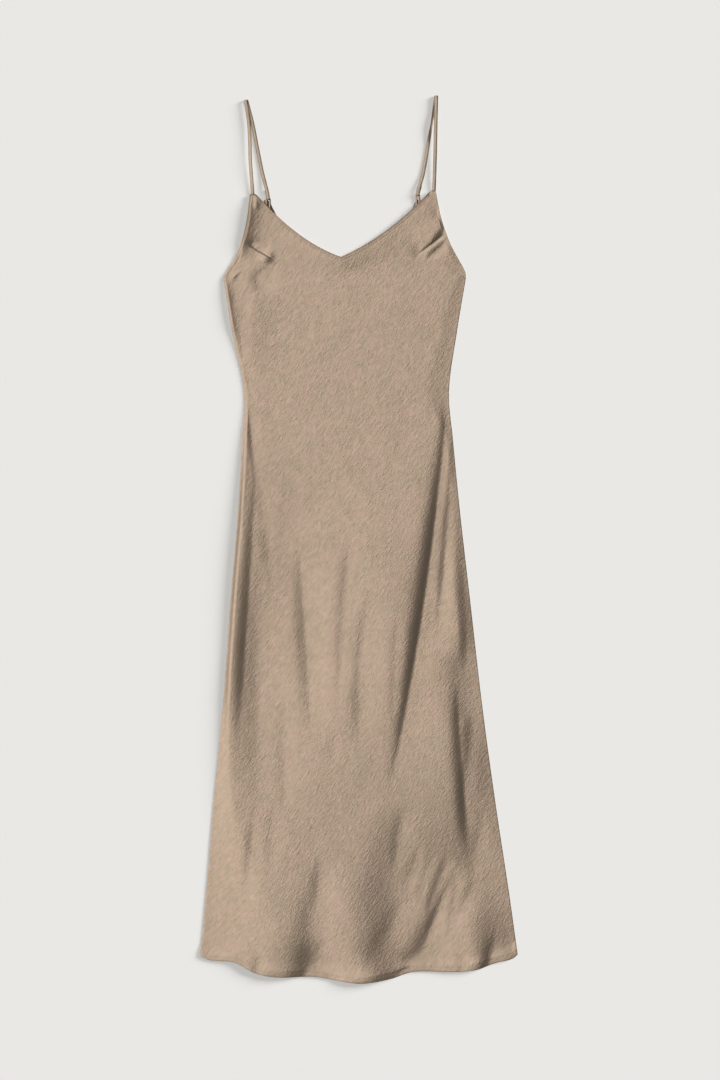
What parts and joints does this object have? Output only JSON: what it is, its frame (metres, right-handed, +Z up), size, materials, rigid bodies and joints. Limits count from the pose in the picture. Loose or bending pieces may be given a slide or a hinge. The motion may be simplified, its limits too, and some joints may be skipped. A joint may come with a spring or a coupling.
{
  "type": "slip dress",
  "caption": "Long bias-cut satin slip dress with a V neckline, bust darts and thin folded shoulder straps, laid flat on its back.",
  "frame": {"origin": "on the surface the dress lies on, under the middle of its outline", "axes": "+Z up from the surface, +Y from the hem to the straps, +X to the viewer's right as the front is looked at"},
  "size_m": [0.476, 1.3316, 0.0111],
  "materials": {
    "satin": "soft taupe slub satin, low sheen",
    "binding": "the same satin as narrow bias binding, topstitched",
    "strap": "the same satin as a pressed turned tube"
  },
  "bodies": {
    "root": {"front_panel": "satin", "back_panel": "satin", "front_neck_binding": "binding", "back_neck_binding": "binding", "armhole_binding_left": "binding", "armhole_binding_right": "binding", "strap_left": "strap", "strap_right": "strap", "strap_loop_left": "strap", "strap_loop_right": "strap"}
  },
  "joints": []
}
